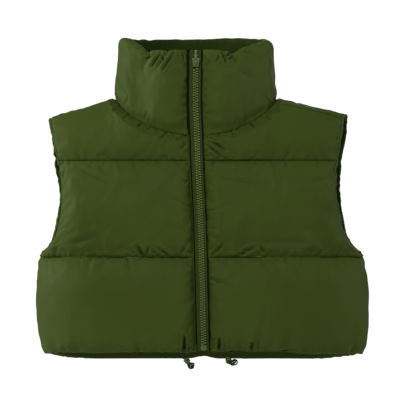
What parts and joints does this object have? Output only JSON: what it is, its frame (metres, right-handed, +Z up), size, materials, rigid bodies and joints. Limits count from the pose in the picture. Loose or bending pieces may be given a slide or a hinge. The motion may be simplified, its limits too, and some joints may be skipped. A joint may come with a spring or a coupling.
{
  "type": "puffer vest",
  "caption": "Cropped sleeveless padded vest with a stand collar, full front zip and drawcord hem, standing open as if worn.",
  "frame": {"origin": "middle of the neck opening at the height of the shoulders, where a wearer's shoulders carry the vest", "axes": "+Z up, -Y out of the zipped front, +X toward the wearer's left side"},
  "size_m": [0.4999, 0.2681, 0.4948],
  "materials": {
    "shell": "satin woven polyester shell over soft filling",
    "trim": "satin woven polyester, folded over",
    "zip_tape": "matte woven polyester tape",
    "zip_teeth": "satin moulded acetal",
    "zip_slider": "satin paint on cast zinc",
    "drawcord": "braided elastic cord",
    "cord_lock": "satin moulded plastic"
  },
  "bodies": {
    "vest": {"front_yoke_right": "shell", "front_yoke_left": "shell", "front_middle_right": "shell", "front_middle_left": "shell", "front_lower_right": "shell", "front_lower_left": "shell", "back_yoke": "shell", "back_middle": "shell", "back_lower": "shell", "collar": "shell", "armhole_binding_right": "trim", "armhole_binding_left": "trim", "hem_tunnel_right": "trim", "hem_tunnel_left": "trim", "hem_tunnel_back": "trim", "zip_tape_right": "zip_tape", "zip_tape_left": "zip_tape", "zip_teeth_right": "zip_teeth", "zip_teeth_left": "zip_teeth", "zip_stop_right": "zip_teeth", "zip_stop_left": "zip_teeth", "zip_box": "zip_teeth", "zip_slider": "zip_slider", "drawcord_right": "drawcord", "drawcord_left": "drawcord", "cord_lock_right": "cord_lock", "cord_lock_left": "cord_lock"},
    "pull_tab": {"zip_pull_tab": "zip_slider"}
  },
  "joints": [
    {"name": "pull_tab_hinge", "type": "hinge", "parent": "vest", "child": "pull_tab", "pos_m": [-0.00615, -0.1005, 0.05516], "axis": [1, 0, 0], "range_deg": [0, 175]}
  ]
}
